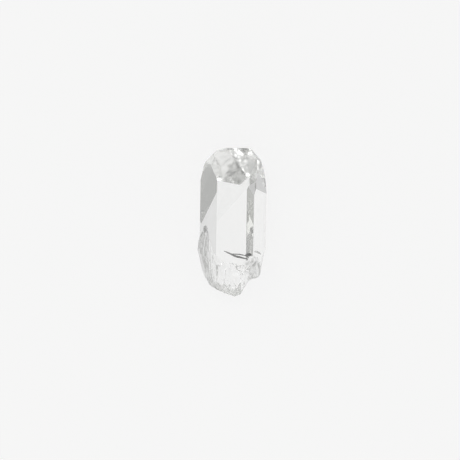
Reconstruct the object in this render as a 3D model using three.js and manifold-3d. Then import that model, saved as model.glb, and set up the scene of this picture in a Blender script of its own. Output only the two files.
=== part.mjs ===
// A loose quartz crystal with a chisel tip at one end and a broken root at the other.
//
// The crystal lies on the flat prism face at its back. +Z is up, +Y points to the tip and +X to the
// crystal's right as it is looked down on. Every length is in millimetres, every angle in degrees.
//
// It grew as one piece, so it is one closed solid: a large block is cut flat along each crystal face,
// a rough fluted lump is joined to its lower left flank, and the root is broken off along an uneven
// surface of shallow shell-shaped hollows.

import * as THREE from 'three';
import { mergeVertices } from 'three/addons/utils/BufferGeometryUtils.js';
import Module from 'manifold-3d';

const wasm = await Module();
wasm.setup();

// Driving dimensions
const TIP_Y = 6.0;           // the chisel ridge, measured from the middle of the crystal's length
const DEPTH = 4.42;          // from the prism face it lies on up to the prism face on top
const AXIS_HEIGHT = DEPTH / 2;
const ROUGH_BLOCK = { width: 8, length: 14.5, height: 7, middle: -0.75 };
const WASTE = 40;            // size of the blocks that are cut away along the flat faces
const STONE_DETAIL = 8;      // how finely the rough lump is faceted

// The six prism faces. azimuth turns about the long axis: 0 faces up, 90 faces +X, 180 is the face it
// lies on. reach is the distance from the axis, and lift leans a face towards the tip.
const PRISM_FACES = [
  { azimuth: 0, lift: 0, reach: AXIS_HEIGHT },
  { azimuth: 60, lift: -1.0, reach: 2.53 },
  { azimuth: 120, lift: -0.8, reach: 2.05 },
  { azimuth: 180, lift: 0, reach: AXIS_HEIGHT },
  { azimuth: 240, lift: 0.8, reach: 2.34 },
  { azimuth: 300, lift: 0.8, reach: 2.23 },
];

// The rhombohedral faces of the tip stand at quartz's own angle, and are turned a little from the
// prism below them. through is a point that each face passes through.
const RHOMB_LIFT = 38.2;
const BACK_LIFT = 30;        // the face at the back of the tip is rounded off by steps, so it leans less
const TIP_TURN = 9;
const RIDGE_MIDDLE = [0.08, TIP_Y, 2.12];
const RIDGE_LEFT = [-1.26, TIP_Y, 2.33];
const RIDGE_RIGHT = [1.38, TIP_Y, 1.91];
const SHOULDER_LEFT = [-2.04, 5.46, 2.03];
const TIP_FACES = [
  { azimuth: TIP_TURN, lift: RHOMB_LIFT, through: RIDGE_MIDDLE },
  { azimuth: TIP_TURN + 60, lift: RHOMB_LIFT, through: RIDGE_RIGHT },
  { azimuth: TIP_TURN + 120, lift: RHOMB_LIFT, through: RIDGE_RIGHT },
  { azimuth: TIP_TURN + 180, lift: BACK_LIFT, through: RIDGE_MIDDLE },
  { azimuth: TIP_TURN + 240, lift: RHOMB_LIFT, through: SHOULDER_LEFT },
  { azimuth: TIP_TURN + 300, lift: RHOMB_LIFT, through: RIDGE_LEFT },
];

// Steep narrow faces between the prism and the tip.
const SHOULDER_FACES = [
  { azimuth: 62, lift: 8, through: [1.68, 2.9, DEPTH] },
  { azimuth: 62, lift: 20, through: [1.94, 5.1, 2.55] },
  { azimuth: 300, lift: 11, through: [-1.42, 3.58, DEPTH] },
  { azimuth: 206, lift: 21.5, through: [0.71, 2.3, 0] },
];

// The rough lump on the lower left flank, with flutes that run along the crystal.
const LUMP = { centre: [-1.9, -2.1, 2.35], radii: [0.97, 1.85, 0.9] };
const FLUTES = 13;
const FLUTE_HEIGHT = 0.045;
const FLUTE_TWIST = 1.5;

// The broken root. Each line gives how far down the crystal reaches (y) at a place across it (x): along
// its lowest crest, and at the edge of the top face. The crest's own height (z) changes across it too.
const CREST_LINE = [
  [-3.4, -0.8], [-2.8, -2.3], [-2.54, -3.5], [-2.3, -4.2], [-1.84, -5.06], [-1.5, -5.28], [-0.88, -5.56],
  [-0.24, -5.82], [0.16, -6.0], [0.64, -5.74], [1.2, -4.78], [1.4, -4.6], [1.84, -4.56], [2.2, -4.18],
  [2.36, -3.14], [2.54, -2.2], [3.4, -1.5],
];
const TOP_LINE = [
  [-3.4, -0.4], [-2.0, -1.6], [-1.36, -2.65], [-0.9, -2.85], [-0.4, -3.3], [0.7, -3.55], [1.4, -3.1],
  [1.7, -2.85], [3.4, -2.4],
];
const CREST_HEIGHT = [
  [-3.4, 2.1], [-2.0, 1.8], [-1.4, 1.2], [-0.5, 1.0], [0.5, 1.0], [1.2, 1.2], [1.8, 1.8], [3.4, 2.6],
];
const CREST_FADE = 0.8;      // hollows reach their full depth this far from the crest
const CREST_KEEP = 0.3;      // the share of their depth that is left on the crest itself
const UNDERCUT = 0.9;        // how much shorter the crystal is on the side it lies on than at the crest
const BREAK_CURVE = 1.1;     // above 1 the break falls away from the crest in a hollow curve
const BREAK_GRID = { width: 6.2, height: 5, floor: -9, across: 72, up: 48 };

// Shell-shaped hollows in the break, as seen from above: middle, half width, half length and depth.
const SHELLS = [
  { x: -1.8, y: -3.9, halfWidth: 0.42, halfLength: 1.5, depth: 0.2 },
  { x: -1.1, y: -4.25, halfWidth: 0.26, halfLength: 1.2, depth: 0.16 },
  { x: -0.62, y: -3.95, halfWidth: 0.55, halfLength: 0.75, depth: 0.2 },
  { x: -0.5, y: -4.9, halfWidth: 0.4, halfLength: 0.85, depth: 0.16 },
  { x: 0.3, y: -4.2, halfWidth: 0.62, halfLength: 1.25, depth: 0.24 },
  { x: 0.1, y: -5.25, halfWidth: 0.4, halfLength: 0.6, depth: 0.12 },
  { x: 0.86, y: -3.45, halfWidth: 0.36, halfLength: 0.5, depth: 0.2 },
  { x: 0.8, y: -4.45, halfWidth: 0.34, halfLength: 0.7, depth: 0.2 },
  { x: 1.3, y: -3.0, halfWidth: 0.34, halfLength: 0.42, depth: 0.2 },
  { x: 1.32, y: -3.9, halfWidth: 0.36, halfLength: 0.5, depth: 0.22 },
  { x: 1.75, y: -3.4, halfWidth: 0.3, halfLength: 0.5, depth: 0.16 },
  { x: 1.9, y: -4.1, halfWidth: 0.42, halfLength: 0.42, depth: 0.1 },
];

const rad = THREE.MathUtils.degToRad;

function solidFrom(geometry) {
  geometry.deleteAttribute('normal');
  geometry.deleteAttribute('uv');
  const merged = mergeVertices(geometry, 1e-5);
  return new wasm.Manifold(new wasm.Mesh({
    numProp: 3,
    vertProperties: Float32Array.from(merged.attributes.position.array),
    triVerts: Uint32Array.from(merged.index.array),
  }));
}

function geometryFrom(solid) {
  const mesh = solid.getMesh();
  const geometry = new THREE.BufferGeometry();
  geometry.setAttribute('position', new THREE.BufferAttribute(mesh.vertProperties, 3));
  geometry.setIndex(new THREE.BufferAttribute(mesh.triVerts, 1));
  return geometry;
}

function faceNormal({ azimuth, lift }) {
  return new THREE.Vector3(
    Math.sin(rad(azimuth)) * Math.cos(rad(lift)),
    Math.sin(rad(lift)),
    Math.cos(rad(azimuth)) * Math.cos(rad(lift)),
  );
}

// A point on a prism face, straight out from the axis.
function prismPoint({ azimuth, reach }) {
  return [Math.sin(rad(azimuth)) * reach, 0, AXIS_HEIGHT + Math.cos(rad(azimuth)) * reach];
}

// Takes away everything in front of a flat crystal face.
function cutFlat(solid, face) {
  const waste = new THREE.BoxGeometry(WASTE, WASTE, WASTE).translate(0, 0, WASTE / 2);
  const turn = new THREE.Quaternion().setFromUnitVectors(new THREE.Vector3(0, 0, 1), faceNormal(face));
  waste.applyQuaternion(turn).translate(...face.through);
  return solid.subtract(solidFrom(waste));
}

function crystalBody() {
  const prism = PRISM_FACES.map((face) => ({ ...face, through: prismPoint(face) }));
  const faces = [...prism, ...SHOULDER_FACES, ...TIP_FACES];
  const { width, length, height, middle } = ROUGH_BLOCK;
  const rough = new THREE.BoxGeometry(width, length, height).translate(0, middle, AXIS_HEIGHT);
  return faces.reduce(cutFlat, solidFrom(rough));
}

// A ball stretched to three radii, with flutes that run along Y.
function sideLump() {
  const geometry = new THREE.IcosahedronGeometry(1, STONE_DETAIL);
  const [across, long, high] = LUMP.radii;
  const position = geometry.attributes.position;
  for (let i = 0; i < position.count; i += 1) {
    const point = new THREE.Vector3().fromBufferAttribute(position, i);
    const around = Math.atan2(point.z, point.x);
    const swell = 1 + FLUTE_HEIGHT * Math.cos(FLUTES * around + FLUTE_TWIST * point.y);
    position.setXYZ(i, point.x * swell * across, point.y * long, point.z * swell * high);
  }
  return solidFrom(geometry.translate(...LUMP.centre));
}

// Straight stretches between the points of a line.
function along(line, x) {
  const next = line.findIndex(([px]) => px > x);
  if (next === 0) return line[0][1];
  if (next < 0) return line[line.length - 1][1];
  const [x0, y0] = line[next - 1];
  const [x1, y1] = line[next];
  return y0 + ((y1 - y0) * (x - x0)) / (x1 - x0);
}

// How far down the broken root reaches at a place across the crystal, before its hollows.
function rootSurface(x, z) {
  const crest = along(CREST_HEIGHT, x);
  const low = along(CREST_LINE, x);
  if (z < crest) return low + (UNDERCUT * (crest - z)) / crest;
  const away = (z - crest) / (DEPTH - crest);
  return low + (along(TOP_LINE, x) - low) * away ** BREAK_CURVE;
}

// The depth of the deepest hollow at a place seen from above.
function shellDepth(x, y) {
  const depths = SHELLS.map((shell) => {
    const across = (x - shell.x) / shell.halfWidth;
    const down = (y - shell.y) / shell.halfLength;
    return shell.depth * (1 - across ** 2 - down ** 2);
  });
  return Math.max(0, ...depths);
}

function brokenSurface(x, z) {
  const smooth = rootSurface(x, z);
  const share = Math.min(1, CREST_KEEP + Math.abs(z - along(CREST_HEIGHT, x)) / CREST_FADE);
  return smooth + shellDepth(x, smooth) * share;
}

// The block of rock below the break, whose top is the uneven broken surface.
function rockBelow() {
  const { width, height, floor, across, up } = BREAK_GRID;
  const geometry = new THREE.BoxGeometry(width, 1, height, across, 1, up).translate(0, 0, AXIS_HEIGHT);
  const position = geometry.attributes.position;
  for (let i = 0; i < position.count; i += 1) {
    const top = position.getY(i) > 0;
    position.setY(i, top ? brokenSurface(position.getX(i), position.getZ(i)) : floor);
  }
  return solidFrom(geometry);
}

function quartzCrystal() {
  const geometry = geometryFrom(crystalBody().add(sideLump()).subtract(rockBelow()));
  geometry.computeBoundingBox();
  const middle = geometry.boundingBox.getCenter(new THREE.Vector3());
  geometry.translate(-middle.x, -middle.y, 0);
  const material = new THREE.MeshStandardMaterial({
    color: 0xeef1f1, roughness: 0.05, metalness: 0, transparent: true, opacity: 0.45, flatShading: true,
  });
  const mesh = new THREE.Mesh(geometry, material);
  mesh.name = 'quartz_crystal';
  return mesh;
}

const group = new THREE.Group();
group.add(quartzCrystal());

export default group;
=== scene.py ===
# %% [markdown]
# # A clear quartz crystal
#
# This lesson dresses one small natural crystal: a water-clear quartz point, twelve millimetres long, with
# a chisel tip at one end and a rough broken root at the other. Its solid is already packed as a frame,
# and Blender makes the surface that the eye sees: sharp flat faces, shell-shaped breaks with fine
# ripples, a few cracks, and real refraction through all of it.
#
# The frame comes first, because everything that is made here has to stay inside its box.

# %% The frame
import math
import random

import bmesh
import bpy
from mathutils import Matrix, Vector, noise


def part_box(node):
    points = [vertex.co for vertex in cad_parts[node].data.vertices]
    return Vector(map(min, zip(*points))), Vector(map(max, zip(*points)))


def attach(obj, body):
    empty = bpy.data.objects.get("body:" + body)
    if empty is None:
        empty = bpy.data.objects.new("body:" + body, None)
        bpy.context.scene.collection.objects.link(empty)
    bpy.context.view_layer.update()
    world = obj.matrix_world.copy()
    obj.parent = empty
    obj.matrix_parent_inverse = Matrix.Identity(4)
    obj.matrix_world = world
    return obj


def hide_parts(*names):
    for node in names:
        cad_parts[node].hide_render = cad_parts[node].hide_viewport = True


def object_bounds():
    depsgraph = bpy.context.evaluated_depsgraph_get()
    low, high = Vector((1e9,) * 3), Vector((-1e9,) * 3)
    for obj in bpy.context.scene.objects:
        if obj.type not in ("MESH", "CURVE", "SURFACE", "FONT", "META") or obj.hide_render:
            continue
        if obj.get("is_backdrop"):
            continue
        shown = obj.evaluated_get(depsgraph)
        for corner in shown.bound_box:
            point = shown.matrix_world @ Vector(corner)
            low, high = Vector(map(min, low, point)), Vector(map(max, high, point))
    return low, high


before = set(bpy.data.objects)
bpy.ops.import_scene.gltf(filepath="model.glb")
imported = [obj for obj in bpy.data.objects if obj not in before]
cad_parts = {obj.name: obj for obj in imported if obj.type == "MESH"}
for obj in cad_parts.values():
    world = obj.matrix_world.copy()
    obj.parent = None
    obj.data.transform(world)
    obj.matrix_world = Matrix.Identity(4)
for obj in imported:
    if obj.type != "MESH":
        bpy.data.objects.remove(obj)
cad_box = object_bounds()
scene = bpy.context.scene
print("frame box, in metres:", [list(corner) for corner in cad_box])

# %% [markdown]
# Every length below is in millimetres, as on a jeweller's gauge, and MM turns it into Blender's metres.
# The crystal lies on the flat prism face at its back. +Y points to its tip and +Z up, at the viewer.

# %% Units and the crystal's main sizes
MM = 0.001
TIP_Y = 6.0
DEPTH = 4.42
AXIS_HEIGHT = DEPTH / 2


def mm(x, y, z):
    """A place or a size that is given in millimetres, in metres."""
    return Vector((x, y, z)) * MM


def direction(azimuth, lift):
    """The way a crystal face looks: azimuth turns about the long axis, lift leans it to the tip."""
    around, up = math.radians(azimuth), math.radians(lift)
    return Vector((math.sin(around) * math.cos(up), math.sin(up), math.cos(around) * math.cos(up)))


print("the long axis meets the tip at", mm(0, TIP_Y, AXIS_HEIGHT), "in metres")

# %% [markdown]
# ## The flat faces
#
# Quartz grows as a six-sided prism, whose sides turn 60 degrees at each edge, under a tip of six
# rhombohedral faces, which always lean 38.2 degrees. Two of those are large here and meet in a chisel
# ridge. Narrow steep faces soften the shoulders between tip and prism, and one small face takes off the
# corner where the tip, the right shoulder and the top face would meet.
#
# A lapidary would cut such a form from a block, one flat at a time, and that is how it is made here too.
# Each face needs only a direction and one point that it passes through. Modelling it corner by corner
# would need every corner worked out first, and the faces would never be quite flat.

# %% Where each face stands
PRISM_FACES = [
    # azimuth, lift, distance from the axis
    (0, 0, AXIS_HEIGHT),
    (60, -1.0, 2.53),
    (120, -0.8, 2.05),
    (180, 0, AXIS_HEIGHT),
    (240, 0.8, 2.34),
    (300, 0.8, 2.23),
]
RHOMB_LIFT = 38.2
BACK_LIFT = 30
TIP_TURN = 9
RIDGE_LEFT = (-1.26, TIP_Y, 2.33)
RIDGE_MIDDLE = (0.08, TIP_Y, 2.12)
RIDGE_RIGHT = (1.38, TIP_Y, 1.91)
SHOULDER_LEFT = (-2.04, 5.46, 2.03)
TIP_FACES = [
    (TIP_TURN, RHOMB_LIFT, RIDGE_MIDDLE),
    (TIP_TURN + 60, RHOMB_LIFT, RIDGE_RIGHT),
    (TIP_TURN + 120, RHOMB_LIFT, RIDGE_RIGHT),
    (TIP_TURN + 180, BACK_LIFT, RIDGE_MIDDLE),
    (TIP_TURN + 240, RHOMB_LIFT, SHOULDER_LEFT),
    (TIP_TURN + 300, RHOMB_LIFT, RIDGE_LEFT),
]
SHOULDER_FACES = [
    (62, 8, (1.68, 2.9, DEPTH)),
    (62, 20, (1.94, 5.1, 2.55)),
    (300, 11, (-1.42, 3.58, DEPTH)),
    (206, 21.5, (0.71, 2.3, 0)),
]
CORNER_FACE = (25, 16, (1.4, 3.6, 4.1))


def prism_point(azimuth, reach):
    """A point on a prism face, straight out from the long axis."""
    around = math.radians(azimuth)
    return (math.sin(around) * reach, 0, AXIS_HEIGHT + math.cos(around) * reach)


flat_faces = [(azimuth, lift, prism_point(azimuth, reach)) for azimuth, lift, reach in PRISM_FACES]
flat_faces += [*SHOULDER_FACES, CORNER_FACE, *TIP_FACES]
print(len(flat_faces), "flat faces")


# %% Cutting the block
ROUGH_SIZE = (8, 14.5, 7)
ROUGH_MIDDLE_Y = -0.75
CUT_WITHIN = 1e-8


def cut_flat(bm, azimuth, lift, through):
    """Slices off everything in front of one face and closes the cut."""
    result = bmesh.ops.bisect_plane(
        bm,
        geom=bm.verts[:] + bm.edges[:] + bm.faces[:],
        dist=CUT_WITHIN,
        plane_co=mm(*through),
        plane_no=direction(azimuth, lift),
        clear_outer=True,
    )
    rim = [item for item in result["geom_cut"] if isinstance(item, bmesh.types.BMEdge)]
    if rim:
        bmesh.ops.edgenet_fill(bm, edges=rim)


def new_object(name, bm):
    """Turns a bmesh into an object in the scene, with its faces pointing outwards."""
    bmesh.ops.recalc_face_normals(bm, faces=bm.faces[:])
    if bm.calc_volume(signed=True) < 0:
        bmesh.ops.reverse_faces(bm, faces=bm.faces[:])
    mesh = bpy.data.meshes.new(name)
    bm.to_mesh(mesh)
    bm.free()
    made = bpy.data.objects.new(name, mesh)
    scene.collection.objects.link(made)
    return made


bm = bmesh.new()
bmesh.ops.create_cube(bm, size=1)
bmesh.ops.scale(bm, verts=bm.verts[:], vec=mm(*ROUGH_SIZE))
bmesh.ops.translate(bm, verts=bm.verts[:], vec=mm(0, ROUGH_MIDDLE_Y, AXIS_HEIGHT))
for azimuth, lift, through in flat_faces:
    cut_flat(bm, azimuth, lift, through)
crystal = new_object("crystal", bm)
print("cut block:", len(crystal.data.polygons), "faces")

# %% [markdown]
# ## Joining and cutting solids
#
# The rough parts are solids of their own, which are joined to the block or taken away from it. Blender's
# Boolean modifier does both. Its exact solver is the right one here: the growth faces stay perfectly
# flat and the mesh stays closed. Light passes through this mesh, so a gap in it would show as a flaw.

# %% Joining and cutting solids


def combine(target, tool, operation):
    """Joins a solid to the crystal or takes it away, and throws the tool away."""
    modifier = target.modifiers.new("cut", "BOOLEAN")
    modifier.operation = operation
    modifier.solver = "EXACT"
    modifier.object = tool
    graph = bpy.context.evaluated_depsgraph_get()
    mesh = bpy.data.meshes.new_from_object(target.evaluated_get(graph))
    target.modifiers.clear()
    target.data = mesh
    print("after the", tool.name + ":", len(mesh.polygons), "faces")
    bpy.data.objects.remove(tool)


def height_on(face, x, y):
    """The height of a prism face at a place seen from above."""
    azimuth, lift, reach = face
    out = direction(azimuth, lift)
    through = Vector(prism_point(azimuth, reach))
    return through.z - ((x - through.x) * out.x + (y - through.y) * out.y) / out.z


# %% [markdown]
# ## Chips on the left flank
#
# Beside the rough lump the left front face isn't whole: small shells of quartz have sprung off it and
# left shallow dishes with sharp rims. A dish is the dent of a flattened ball, so each one is a ball that
# is scaled, made a little uneven, turned to lie on the face and taken away. A bump in the material would
# be quicker to make, but it couldn't bend the light that passes through.

# %% Chips on the left flank
FLANK = PRISM_FACES[-1]
FLANK_SCOOPS = [
    # x, y, half width, half length, depth
    (-2.2, -0.5, 0.34, 0.3, 0.16),
    (-2.02, -1.05, 0.2, 0.4, 0.1),
    (-1.92, -1.75, 0.22, 0.55, 0.12),
    (-1.72, -2.45, 0.24, 0.6, 0.1),
    (-2.2, -1.5, 0.26, 0.5, 0.12),
]
SCOOP_DETAIL = 4
SCOOP_UNEVEN = 0.12
SCOOP_GRAIN = 6
SCOOP_VARIETY = 9


def scoop(x, y, half_width, half_length, depth):
    """A flattened ball that is sunk into the left front face."""
    bm = bmesh.new()
    bmesh.ops.create_icosphere(bm, subdivisions=SCOOP_DETAIL, radius=1)
    bmesh.ops.scale(bm, verts=bm.verts[:], vec=mm(half_width, half_length, depth))
    its_own = Vector((x, y, 0)) * SCOOP_VARIETY
    for vert in bm.verts:
        vert.co *= 1 + SCOOP_UNEVEN * noise.noise(vert.co / MM * SCOOP_GRAIN + its_own)
    turn = Vector((0, 0, 1)).rotation_difference(direction(*FLANK[:2])).to_matrix()
    bmesh.ops.rotate(bm, verts=bm.verts[:], matrix=turn)
    bmesh.ops.translate(bm, verts=bm.verts[:], vec=mm(x, y, height_on(FLANK, x, y)))
    return new_object("scoop", bm)


for sizes in FLANK_SCOOPS:
    combine(crystal, scoop(*sizes), "DIFFERENCE")

# %% [markdown]
# ## Uneven surfaces
#
# The lump and the break share the same small hollows. They are drawn at random inside a box, but always
# from the same seed, so that every run gives the same crystal. At any place only the deepest hollow
# counts, which leaves a sharp rim wherever two of them meet. A gentle noise, stretched along the crystal,
# keeps what lies between the hollows from being too smooth.

# %% Helpers for uneven surfaces
ALONG_THE_CRYSTAL = 0.5


def lifted(point, scale, height):
    """How far a coarse surface stands off its smooth form at a place, in millimetres."""
    return height * noise.noise(Vector((point.x, point.y * ALONG_THE_CRYSTAL, point.z)) * scale)


def random_chips(seed, count, low, high, radii, depths, stretches):
    """Places and sizes for small shell-shaped hollows inside a box, the same on every run."""
    draw = random.Random(seed)
    chips = []
    for _ in range(count):
        place = Vector([draw.uniform(a, b) for a, b in zip(low, high)])
        chips.append((place, draw.uniform(*radii), draw.uniform(*depths), draw.uniform(*stretches)))
    return chips


def chip_depth(point, chips):
    """The depth of the deepest hollow at a place. Hollows are long along the crystal."""
    deepest = 0
    for place, radius, depth, stretch in chips:
        x = abs(point.x - place.x)
        if x < radius:
            away = (x**2 + ((point.y - place.y) / stretch) ** 2 + (point.z - place.z) ** 2) / radius**2
            if away < 1:
                deepest = max(deepest, depth * (1 - away))
    return deepest


# %% [markdown]
# ## The side lump
#
# Low on its left flank the crystal carries a rough lump, where it grew against a neighbour. Fine flutes
# run along it. An icosphere is stretched to the lump's three radii, its radius waves round the long axis
# to make the flutes, and hollows and a coarse unevenness take a little off. An icosphere has no poles,
# so the flutes don't bunch up at its ends. The hollows are small and deep at the lump's upper end, where
# it meets the smooth face in a chipped lip.

# %% The side lump
LUMP_CENTRE = (-1.9, -2.1, 2.35)
LUMP_RADII = (0.97, 1.85, 0.9)
FLUTES = 13
FLUTE_HEIGHT = 0.045
FLUTE_TWIST = 1.5
LUMP_DETAIL = 6
LUMP_UNEVEN_SCALE = 5
LUMP_UNEVEN = 0.03

lump_chips = random_chips(
    seed=5, count=60, low=(-2.9, -4.0, 1.2), high=(-1.6, -0.2, 3.3),
    radii=(0.3, 0.6), depths=(0.05, 0.11), stretches=(1.2, 3.0),
)
lump_chips += random_chips(
    seed=23, count=26, low=(-2.9, -1.4, 1.2), high=(-1.6, -0.2, 3.3),
    radii=(0.16, 0.32), depths=(0.1, 0.2), stretches=(1.0, 2.0),
)
bm = bmesh.new()
bmesh.ops.create_icosphere(bm, subdivisions=LUMP_DETAIL, radius=1)
for vert in bm.verts:
    out = vert.co.copy()
    around = math.atan2(out.z, out.x)
    swell = 1 + FLUTE_HEIGHT * math.cos(FLUTES * around + FLUTE_TWIST * out.y)
    across, long, high = LUMP_RADII
    place = Vector(LUMP_CENTRE) + Vector((out.x * swell * across, out.y * long, out.z * swell * high))
    inwards = chip_depth(place, lump_chips) + lifted(place, LUMP_UNEVEN_SCALE, LUMP_UNEVEN)
    vert.co = (place - out * inwards) * MM
combine(crystal, new_object("lump", bm), "UNION")

# %% [markdown]
# ## The broken root
#
# The crystal was snapped off the rock it grew on. Quartz doesn't cleave, so it breaks in shell-shaped
# hollows, with rings round the point where each one was struck. From its lowest crest the break climbs
# to the top face, and below the crest it falls back a little.
#
# That is one surface: for every place across the crystal (x) and every height (z) it says how far down
# the crystal reaches (y). A grid can be bent to such a surface and never crosses itself, and extruded
# it becomes the block of rock that is taken away. The lines below give its main course.

# %% The course of the break
CREST_LINE = [
    # x, y of the lowest crest
    (-3.4, -0.8), (-2.8, -2.3), (-2.54, -3.5), (-2.3, -4.2), (-1.84, -5.06), (-1.5, -5.28), (-0.88, -5.56),
    (-0.24, -5.82), (0.16, -6.0), (0.64, -5.74), (1.2, -4.78), (1.4, -4.6), (1.84, -4.56), (2.2, -4.18),
    (2.36, -3.14), (2.54, -2.2), (3.4, -1.5),
]
TOP_LINE = [
    # x, y where the break meets the top face
    (-3.4, -0.4), (-2.0, -1.6), (-1.36, -2.65), (-0.9, -2.85), (-0.4, -3.3), (0.7, -3.55), (1.4, -3.1),
    (1.7, -2.85), (3.4, -2.4),
]
CREST_HEIGHT = [
    # x, z of the lowest crest
    (-3.4, 2.1), (-2.0, 1.8), (-1.4, 1.2), (-0.5, 1.0), (0.5, 1.0), (1.2, 1.2), (1.8, 1.8), (3.4, 2.6),
]
UNDERCUT = 0.9
BREAK_CURVE = 1.1
CREST_FADE = 0.8
CREST_KEEP = 0.3


def along(line, x):
    """Straight stretches between the points of a line."""
    for (x0, y0), (x1, y1) in zip(line, line[1:]):
        if x <= x1:
            return y0 + (y1 - y0) * (x - x0) / (x1 - x0)
    return line[-1][1]


def root_surface(x, z):
    """How far down the broken root reaches at a place across the crystal."""
    crest = along(CREST_HEIGHT, x)
    low = along(CREST_LINE, x)
    if z < crest:
        return low + UNDERCUT * (crest - z) / crest
    away = (z - crest) / (DEPTH - crest)
    return low + (along(TOP_LINE, x) - low) * away**BREAK_CURVE


def break_height(x, y):
    """The height of the broken root's upper side at a place seen from above."""
    crest = along(CREST_HEIGHT, x)
    low = along(CREST_LINE, x)
    share = (y - low) / (along(TOP_LINE, x) - low)
    return crest + (DEPTH - crest) * min(1, max(0, share)) ** (1 / BREAK_CURVE)


def crest_share(x, z):
    """How much of a hollow's depth is left at a place: near the crest hollows are shallow."""
    return min(1, CREST_KEEP + abs(z - along(CREST_HEIGHT, x)) / CREST_FADE)


print("the root reaches down to", min(y for _, y in CREST_LINE), "mm")

# %% [markdown]
# The large shells are placed one by one where they lie on the real break. Their rings run round
# the struck point like ripples round a stone in water, and are steeper on the far side.

# %% Shells with rings
SHELLS = [
    # x, y, half width and half length as seen from above, depth, where on the rim it was struck
    (-1.8, -3.9, 0.42, 1.5, 0.2, 0),
    (-1.1, -4.25, 0.26, 1.2, 0.16, 30),
    (-0.62, -3.95, 0.55, 0.75, 0.2, 60),
    (-0.5, -4.9, 0.4, 0.85, 0.16, 200),
    (0.3, -4.2, 0.62, 1.25, 0.24, 230),
    (0.1, -5.25, 0.4, 0.6, 0.12, 300),
    (0.86, -3.45, 0.36, 0.5, 0.2, 120),
    (0.8, -4.45, 0.34, 0.7, 0.2, 80),
    (1.3, -3.0, 0.34, 0.42, 0.2, 300),
    (1.32, -3.9, 0.36, 0.5, 0.22, 20),
    (1.75, -3.4, 0.3, 0.5, 0.16, 160),
    (1.9, -4.1, 0.42, 0.42, 0.1, 250),
]
RING_SPACING = 0.7
RING_HEIGHT = 0.09
RING_LEAN = 0.6


def shell_depth(point):
    """The depth of the deepest large shell at a place, with its rings."""
    deepest = rings = 0
    for x, y, half_width, half_length, depth, angle in SHELLS:
        across = (point.x - x) / half_width
        down = (point.y - y) / half_length
        hollow = depth * (1 - across**2 - down**2)
        if hollow > deepest:
            deepest = hollow
            turn = math.radians(angle)
            struck_x, struck_y = x + half_width * math.sin(turn), y + half_length * math.cos(turn)
            struck = Vector((struck_x, struck_y, break_height(struck_x, struck_y)))
            turns = (point - struck).length * 2 * math.pi / RING_SPACING
            rings = RING_HEIGHT * math.sin(turns + RING_LEAN * math.sin(turns)) * math.sqrt(hollow / depth)
    return deepest + rings


print(len(SHELLS), "shells, the deepest", max(shell[4] for shell in SHELLS), "mm")

# %% [markdown]
# Finer marks complete the break. Growth stripes stand close together along its left flank, and sharp
# grooves wind over all of it, mostly along the crystal. A groove lies where a noise passes through zero,
# so it never ends in the middle of nowhere. The very peak of the root is granular. Small hollows lie all
# over the break, with deeper ones on the right, where it splintered most.

# %% Stripes, grooves and grains
STRIPED_MIDDLE = -1.8
STRIPED_HALF_WIDTH = 0.55
STRIPES_FADE = 3
STRIPE_SPACING = 0.17
STRIPE_HEIGHT = 0.1
STRIPE_WANDER = 0.08
WANDER_SCALE = (2, 1.4)
CREASE_SCALE = (1.6, 0.65, 0.65)
CREASE_HEIGHT = 0.22
CREASE_SHARPNESS = 3
PEAK = (0.16, 0.6)
PEAK_REACH = 1.1
GRAIN_SCALE = 6
GRAIN_HEIGHT = 0.16
GRAIN_OFFSET = 0.02


def striped(point):
    """The height of the fine growth stripes along the left flank of the break."""
    inside = max(0, 1 - abs(point.x - STRIPED_MIDDLE) / STRIPED_HALF_WIDTH)
    wander = STRIPE_WANDER * noise.noise((point.x * WANDER_SCALE[0], point.y * WANDER_SCALE[1], 0))
    stripe = abs(math.sin(math.pi * (point.x + wander) / STRIPE_SPACING))
    return STRIPE_HEIGHT * min(1, STRIPES_FADE * inside) * stripe


def creased(point):
    """The depth of the sharp winding grooves where two breaks met."""
    stretched = Vector([place * scale for place, scale in zip(point, CREASE_SCALE)])
    fold = max(0, 1 - CREASE_SHARPNESS * abs(noise.noise(stretched)))
    return CREASE_HEIGHT * fold**2


def granular(point):
    """The height of the grains round the peak of the root."""
    near = max(0, 1 - math.hypot(point.x - PEAK[0], point.z - PEAK[1]) / PEAK_REACH)
    return near * (GRAIN_OFFSET + abs(lifted(point, GRAIN_SCALE, GRAIN_HEIGHT)))


def on_break(chips):
    """The same hollows, moved along the crystal until they lie on the break."""
    return [(Vector((c.x, root_surface(c.x, c.z), c.z)), *sizes) for c, *sizes in chips]


root_chips = random_chips(
    seed=11, count=60, low=(-2.6, -6, 0), high=(2.4, -2, DEPTH),
    radii=(0.35, 0.7), depths=(0.06, 0.13), stretches=(1.0, 2.2),
)
root_chips += random_chips(
    seed=17, count=24, low=(0.6, -6, 1.6), high=(2.2, -2, DEPTH),
    radii=(0.25, 0.45), depths=(0.16, 0.3), stretches=(0.8, 1.4),
)
root_chips = on_break(root_chips)
print(len(root_chips), "small hollows on the break")

# %% Breaking off the root
BREAK_HALF_SIZE = (3.1, 2.5)
BREAK_FLOOR = -9
BREAK_STEPS_ACROSS = 280
BREAK_STEPS_UP = 220
BREAK_UNEVEN_SCALE = 2
BREAK_UNEVEN = 0.03

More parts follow.
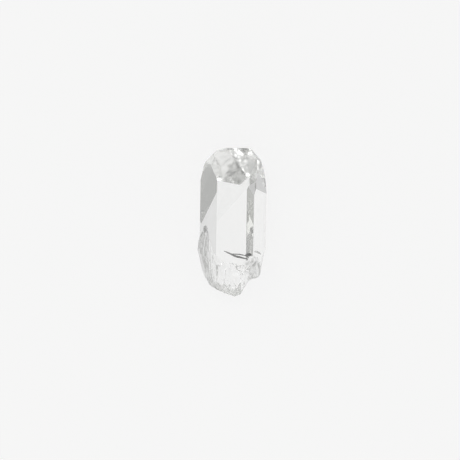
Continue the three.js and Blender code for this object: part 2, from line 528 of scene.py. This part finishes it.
bm = bmesh.new()
bmesh.ops.create_grid(bm, x_segments=BREAK_STEPS_ACROSS, y_segments=BREAK_STEPS_UP, size=1)
for vert in bm.verts:
    x = vert.co.x * BREAK_HALF_SIZE[0]
    z = AXIS_HEIGHT + vert.co.y * BREAK_HALF_SIZE[1]
    place = Vector((x, root_surface(x, z), z))
    inwards = shell_depth(place) + chip_depth(place, root_chips)
    inwards += lifted(place, BREAK_UNEVEN_SCALE, BREAK_UNEVEN)
    inwards += striped(place) + creased(place)
    place.y += inwards * crest_share(x, z) + granular(place)
    vert.co = place * MM
rock = bmesh.ops.extrude_face_region(bm, geom=bm.faces[:])
for item in rock["geom"]:
    if isinstance(item, bmesh.types.BMVert):
        item.co.y = BREAK_FLOOR * MM
combine(crystal, new_object("rock", bm), "DIFFERENCE")

# %% [markdown]
# ## Frost, haze and painted shade
#
# Not every face of a crystal is equally clear. The growth faces are like polished glass and the tip is
# etched. The break is matt at its left and right, where it splintered, and clearer between, where large
# shells sprang off. The left front face and the right shoulder are greyed with painted shade, which stands
# in for dark surroundings seen through them, and the lump is a little darker too.
#
# Two numbers are stored on each face of the mesh for the material to read: frost is how matt it is, and
# the other is how much the face darkens the light that passes it. That is painted shade on the left front
# face and the right shoulder, and a darker tone on the lump and the break. A face's own direction and
# place decide them, so nothing has to be painted by hand, and it all stays in place from every side.

# %% Frost, haze and painted shade
FLAT_WITHIN = 0.0005
SAME_WAY = 0.9999
# How matt: the tip, the clear middle of the break, and its splintered left and right
TIP_FROST = 0.32
FROSTED_ABOVE = math.sin(math.radians(15))
CLEAR_FROST = 0.42
CLEAR_FROM = -0.4
CLEAR_FADE = 0.8
RIGHT_FROST = 0.7
RIGHT_FROM = 0.9
# How dark: painted shade on the left front face and the right shoulder, and a darker tone on the lump with
# its lip and on the break's right side
# painted shade: the left front face is greyed for dark surroundings seen through it
FLANK_PAINTED_SHADE = 0.3
# painted shade: the right shoulder is greyed the same way
SHOULDER_PAINTED_SHADE = 0.55
SHOULDER_LEAN = 0.1
SHOULDER_SIDE = 0.4
LUMP_HAZE = 0.2
LIP_HAZE = 0.45
LIP_Y = -0.5
LIP_REACH = 0.6
BREAK_HAZE = 0.05


def faces_like(polygon, azimuth, lift):
    """Whether a face of the mesh looks the way of one crystal face."""
    return polygon.normal.dot(direction(azimuth, lift)) > SAME_WAY


def is_flat(polygon):
    """Whether a face lies in one of the crystal's own flat faces."""
    centre = polygon.center / MM
    return any(
        faces_like(polygon, azimuth, lift)
        and abs((centre - Vector(through)).dot(direction(azimuth, lift))) < FLAT_WITHIN
        for azimuth, lift, through in flat_faces
    )


def frost(polygon):
    """How matt a face is: 0 for a growth face, 1 for the roughest break."""
    if is_flat(polygon):
        etched = polygon.normal.y > FROSTED_ABOVE and polygon.normal.z > 0
        return TIP_FROST if etched else 0
    x = polygon.center.x / MM
    least = RIGHT_FROST if x > RIGHT_FROM else CLEAR_FROST
    return min(1, max(least, (CLEAR_FROM - x) / CLEAR_FADE))


def haze_and_painted_shade(polygon):
    """How much a face darkens light: painted shade on the left front face and right shoulder, else a
    darker tone.
    """
    if is_flat(polygon):
        # painted shade: the right shoulder and the left front face are greyed for dark surroundings seen
        # through them
        if polygon.normal.y > SHOULDER_LEAN and polygon.normal.x > SHOULDER_SIDE:
            return SHOULDER_PAINTED_SHADE
        return FLANK_PAINTED_SHADE if faces_like(polygon, *FLANK[:2]) else 0
    x, y, _ = polygon.center / MM
    if x < LUMP_CENTRE[0] and y > LUMP_CENTRE[1] - LUMP_RADII[1]:
        return LUMP_HAZE + LIP_HAZE * max(0, 1 - abs(y - LIP_Y) / LIP_REACH)
    return BREAK_HAZE if x > RIGHT_FROM else 0


def store(name, mesh, values):
    """Keeps one number for each face of a mesh under a name."""
    mesh.attributes.new(name, "FLOAT", "FACE").data.foreach_set("value", values)


for name, rule in (("frost", frost), ("haze_and_painted_shade", haze_and_painted_shade)):
    values = [float(rule(polygon)) for polygon in crystal.data.polygons]
    store(name, crystal.data, values)
    print(name, "on", sum(value > 0 for value in values), "of", len(values), "faces")

# %% [markdown]
# ## The cracks
#
# Cracks start at the break and run into the clear part. A crack is a thin gap of air, and its faces are
# made much darker, which makes it a dark line. Each one is a strip that hangs a little below the surface,
# leans back and closes towards both ends. Solidify turns it into a closed solid that can be cut away, and
# its own frost and darkening pass on to the crystal with it. A dark line painted on the surface would be
# simpler, but it would have no depth when the crystal is turned.

# %% The cracks
CRACKS = [
    # how deep it lies, how far it reaches down, then its points seen from above, from end to end
    (0.07, 0.11, [(-0.72, -2.26), (-0.4, -2.42), (-0.08, -2.6), (0.32, -2.76), (0.8, -2.86), (1.2, -2.9)]),
    (0.07, 0.06, [(-0.14, -2.48), (0.3, -2.52), (0.96, -2.62), (1.3, -2.76)]),
    (0.07, 0.17, [(0.98, -2.6), (1.2, -2.66), (1.5, -2.6)]),
    (0.07, 0.12, [(1.68, -2.3), (1.96, -2.44), (2.24, -2.54)]),
    (0.1, 0.06, [(-0.4, -3.4), (0.1, -3.46), (0.76, -3.58)]),
    (0.3, 0.3, [(0.98, -3.3), (1.24, -3.4), (1.54, -3.3)]),
    (0.3, 0.16, [(1.08, -4.0), (1.3, -4.14), (1.56, -4.08)]),
    (0.3, 0.1, [(0.5, -3.56), (0.96, -3.76), (1.3, -3.72)]),
    (0.3, 0.12, [(1.7, -3.1), (1.9, -3.5), (2.0, -3.9)]),
]
CRACK_STEPS_LONG = 30
CRACK_STEPS_DOWN = 3
CRACK_TILT = 1.5
CRACK_END = 0.02
CRACK_WAVE = 0.02
CRACK_WAVE_SCALE = 3
CRACK_GAP = 0.03
CRACK_FROST = 0.5
CRACK_HAZE = 0.8


def surface_height(x, y):
    """The height of the crystal's upper side at a place, below the shoulders."""
    _, right, *_, left = PRISM_FACES
    return min(DEPTH, height_on(right, x, 0), height_on(left, x, 0), break_height(x, y))


def crack(cover, depth, line):
    """A thin gap that hangs below a line, leaning back, and closes towards both ends."""
    bm = bmesh.new()
    bmesh.ops.create_grid(bm, x_segments=CRACK_STEPS_LONG, y_segments=CRACK_STEPS_DOWN, size=1)
    for vert in bm.verts:
        share, down = (vert.co.x + 1) / 2, (1 - vert.co.y) / 2
        x = line[0][0] + (line[-1][0] - line[0][0]) * share
        y = along(line, x)
        from_end = CRACK_END + (1 - 2 * CRACK_END) * share
        reach = depth * down * math.sqrt(math.sin(math.pi * from_end))
        wave = CRACK_WAVE * noise.noise((x * CRACK_WAVE_SCALE, line[0][1], 0))
        vert.co = mm(x, y + CRACK_TILT * reach + wave, surface_height(x, y) - cover - reach)
    bmesh.ops.solidify(bm, geom=bm.faces[:], thickness=CRACK_GAP * MM)
    made = new_object("crack", bm)
    for name, value in (("frost", CRACK_FROST), ("haze_and_painted_shade", CRACK_HAZE)):
        store(name, made.data, [value] * len(made.data.polygons))
    return made


for sizes in CRACKS:
    combine(crystal, crack(*sizes), "DIFFERENCE")

# %% [markdown]
# ## Sharp and smooth
#
# Growth faces meet in sharp edges and are shaded flat, and the uneven faces are shaded smooth, or each
# of their small facets would flash on its own. The sharp edges are marked first, because that step
# clears what was set before.

# %% Sharp and smooth
SHARP_FROM = 35

crystal.data.set_sharp_from_angle(angle=math.radians(SHARP_FROM))
smooth = [not is_flat(polygon) for polygon in crystal.data.polygons]
crystal.data.polygons.foreach_set("use_smooth", smooth)
print("flat faces:", smooth.count(False), "uneven faces:", smooth.count(True))

# %% [markdown]
# ## Into the frame's place
#
# So far the crystal stood where its driving dimensions put it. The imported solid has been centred, so the
# crystal is moved to lie exactly in it: the right end of the chisel ridge is the same corner in both.
# Only the mesh is moved, and the object stays at the origin.

# %% In the frame's place
RIDGE_WITHIN = 0.001


def ridge_end(mesh):
    """The right end of the chisel ridge, which is the furthest edge along the crystal."""
    furthest = max(vert.co.y for vert in mesh.vertices)
    ridge = [vert.co for vert in mesh.vertices if vert.co.y > furthest - RIDGE_WITHIN * MM]
    return max(ridge, key=lambda place: place.x).copy()


def corners(places):
    """The lowest and the highest corner of the box round some places, in millimetres."""
    return [[round(pick(axis) / MM, 3) for axis in zip(*places)] for pick in (min, max)]


centring = ridge_end(bpy.data.objects["quartz_crystal"].data) - ridge_end(crystal.data)
crystal.data.transform(Matrix.Translation(centring))
print("moved by, in millimetres:", centring / MM)
print("crystal:", corners([vert.co for vert in crystal.data.vertices]))
print("frame:", corners(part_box("quartz_crystal")))
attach(crystal, "root")
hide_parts("quartz_crystal")

# %% [markdown]
# ## Clear quartz
#
# Quartz is colourless and bends light a little more than window glass: its refractive index is 1.544.
# The surface lets all light through, and the frost stored on the faces sets its roughness. The other
# stored number darkens its base colour, which dims light on its way in and out; on the left front face
# and the right shoulder that is painted shade. A light absorption in the volume gives the thick parts
# their faint warm grey.

# %% Clear quartz
QUARTZ_INDEX = 1.544
POLISHED = 0.005
SPLINTERED = 0.4
NO_DARKENING = (1, 1, 1, 1)
FULL_DARKENING = (0, 0, 0, 1)
BODY_COLOUR = (0.94, 0.945, 0.92, 1)
BODY_DENSITY = 45

quartz = bpy.data.materials.new("clear quartz")
quartz.use_nodes = True
nodes, links = quartz.node_tree.nodes, quartz.node_tree.links
surface = nodes["Principled BSDF"]
surface.inputs["Transmission Weight"].default_value = 1
surface.inputs["IOR"].default_value = QUARTZ_INDEX

frosted = nodes.new("ShaderNodeAttribute")
frosted.attribute_name = "frost"
roughness = nodes.new("ShaderNodeMapRange")
roughness.inputs["To Min"].default_value = POLISHED
roughness.inputs["To Max"].default_value = SPLINTERED
links.new(frosted.outputs["Fac"], roughness.inputs["Value"])
links.new(roughness.outputs["Result"], surface.inputs["Roughness"])

# painted shade: a number stored on each face darkens the base colour, greying the left front face and the
# right shoulder
haze_and_shade_attribute = nodes.new("ShaderNodeAttribute")
haze_and_shade_attribute.attribute_name = "haze_and_painted_shade"
darkening = nodes.new("ShaderNodeMix")
darkening.data_type = "RGBA"
darkening.inputs["A"].default_value = NO_DARKENING
darkening.inputs["B"].default_value = FULL_DARKENING
links.new(haze_and_shade_attribute.outputs["Fac"], darkening.inputs["Factor"])
links.new(darkening.outputs["Result"], surface.inputs["Base Color"])

absorption = nodes.new("ShaderNodeVolumeAbsorption")
absorption.inputs["Color"].default_value = BODY_COLOUR
absorption.inputs["Density"].default_value = BODY_DENSITY
links.new(absorption.outputs["Volume"], nodes["Material Output"].inputs["Volume"])
crystal.data.materials.clear()
crystal.data.materials.append(quartz)
print("quartz has", len(nodes), "nodes")

# %% [markdown]
# ## The floor
#
# A clear thing shows what is behind it. On a floor that is only lit from above, its own shadow and the
# bright spots it focuses would hide its shape, so this floor glows evenly, as a light table does. The
# glow fades far from the crystal: rays that leave it almost level then meet something greyer, and that
# difference draws the facets.

# %% The floor
FLOOR_HALF_SIZE = 300
FLOOR_DROP = 0.03
FLOOR_COLOUR = (0.2, 0.2, 0.2, 1)
GLOW_COLOUR = (1, 1, 1, 1)
GLOW_NEAR = 0.805
GLOW_FAR = 0.6
GLOW_FADES_FROM = 28
GLOW_FADES_TO = 90

bm = bmesh.new()
bmesh.ops.create_grid(bm, x_segments=1, y_segments=1, size=FLOOR_HALF_SIZE * MM)
bmesh.ops.translate(bm, verts=bm.verts[:], vec=mm(0, 0, -FLOOR_DROP))
floor = new_object("floor", bm)
pale = bpy.data.materials.new("pale floor")
pale.use_nodes = True
nodes, links = pale.node_tree.nodes, pale.node_tree.links
surface = nodes["Principled BSDF"]
surface.inputs["Base Color"].default_value = FLOOR_COLOUR
surface.inputs["Roughness"].default_value = 1
surface.inputs["Emission Color"].default_value = GLOW_COLOUR
place = nodes.new("ShaderNodeTexCoord")
away = nodes.new("ShaderNodeVectorMath")
away.operation = "LENGTH"
glow = nodes.new("ShaderNodeMapRange")
glow.interpolation_type = "SMOOTHSTEP"
glow.inputs["From Min"].default_value = GLOW_FADES_FROM * MM
glow.inputs["From Max"].default_value = GLOW_FADES_TO * MM
glow.inputs["To Min"].default_value = GLOW_NEAR
glow.inputs["To Max"].default_value = GLOW_FAR
links.new(place.outputs["Object"], away.inputs[0])
links.new(away.outputs["Value"], glow.inputs["Value"])
links.new(glow.outputs["Result"], surface.inputs["Emission Strength"])
floor.data.materials.append(pale)
floor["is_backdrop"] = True
print("floor:", 2 * FLOOR_HALF_SIZE, "mm wide")

# %% [markdown]
# ## Light
#
# The room round the crystal is an even grey of half the floor's brightness, which the steep facets
# reflect. A small disk straight above adds a faint gloss to the top face, and a soft key light from the
# upper left a little sparkle to the tip. The bright patches on the tip come from a wide low disk beyond
# the root: its light enters through the break and is thrown up at the viewer by the faces of the tip.
# A light's power is worked out from how bright its disk should look, because that is what a reflection
# shows.

# %% Light
ROOM_COLOUR = (0.5, 0.503, 0.495, 1)
LIGHTS_AIM = (0, 0, 2)

world = bpy.data.worlds.new("studio")
scene.world = world
world.use_nodes = True
world.node_tree.nodes["Background"].inputs["Color"].default_value = ROOM_COLOUR


def soft_light(name, place, size, radiance):
    """A disk light that looks as bright as a wall of the given radiance."""
    data = bpy.data.lights.new(name, "AREA")
    data.shape = "DISK"
    data.size = size * MM
    area = math.pi * data.size**2 / 4
    data.energy = radiance * math.pi * area
    lamp = bpy.data.objects.new(name, data)
    lamp.location = mm(*place)
    lamp.rotation_euler = (mm(*LIGHTS_AIM) - mm(*place)).to_track_quat("-Z", "Y").to_euler()
    lamp.visible_camera = False
    scene.collection.objects.link(lamp)
    print(name, "light:", round(data.energy, 4), "W")


soft_light("overhead", place=(0, 0, 500), size=80, radiance=0.3)
soft_light("low", place=(-10, -350, 35), size=200, radiance=2.5)
soft_light("key", place=(-120, 180, 250), size=100, radiance=1.5)

# %% [markdown]
# ## Camera
#
# The camera looks straight down on the crystal. It stands far away with a long lens, as a macro camera
# does, so that both ends of the crystal are seen almost square on. The frame is 460 pixels wide and the
# crystal 150 pixels long, which sets the scale, and the middle of the crystal goes to its own pixel.

# %% Camera
PIXELS_PER_MM = 12.5
FRAME_PIXELS = 460
MIDDLE_PIXEL = (231.65, 222.75)
DISTANCE = 300
SENSOR = 36

camera_data = bpy.data.cameras.new("camera")
camera = bpy.data.objects.new("camera", camera_data)
scene.collection.objects.link(camera)
scene.camera = camera
view_width = FRAME_PIXELS / PIXELS_PER_MM
camera_data.sensor_width = SENSOR
camera_data.lens = SENSOR * DISTANCE / view_width
camera_data.clip_start = MM
offset_x = (FRAME_PIXELS / 2 - MIDDLE_PIXEL[0]) / PIXELS_PER_MM
offset_y = (MIDDLE_PIXEL[1] - FRAME_PIXELS / 2) / PIXELS_PER_MM
camera.location = mm(offset_x, offset_y, AXIS_HEIGHT + DISTANCE)
print("lens:", round(camera_data.lens), "mm, view width:", view_width, "mm")

# %% [markdown]
# Light inside the crystal bounces from face to face many times before it finds a way out, so Cycles is
# allowed that many bounces. The Standard view keeps the floor's white as it is.

# %% Light paths and colours
INNER_BOUNCES = 32
GLOSSY_BOUNCES = 16

scene.view_settings.view_transform = "Standard"
scene.cycles.transmission_bounces = INNER_BOUNCES
scene.cycles.max_bounces = INNER_BOUNCES
scene.cycles.glossy_bounces = GLOSSY_BOUNCES
print("bounces:", INNER_BOUNCES)

# %% [markdown]
# ## Sizes
#
# Last, the box of what was made is printed beside the box of the frame, so that the two can be compared.

# %% Sizes and finish
visual_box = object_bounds()
sizes = {"cad": [list(corner) for corner in cad_box], "visual": [list(corner) for corner in visual_box]}
print("sizes, in metres:", sizes)
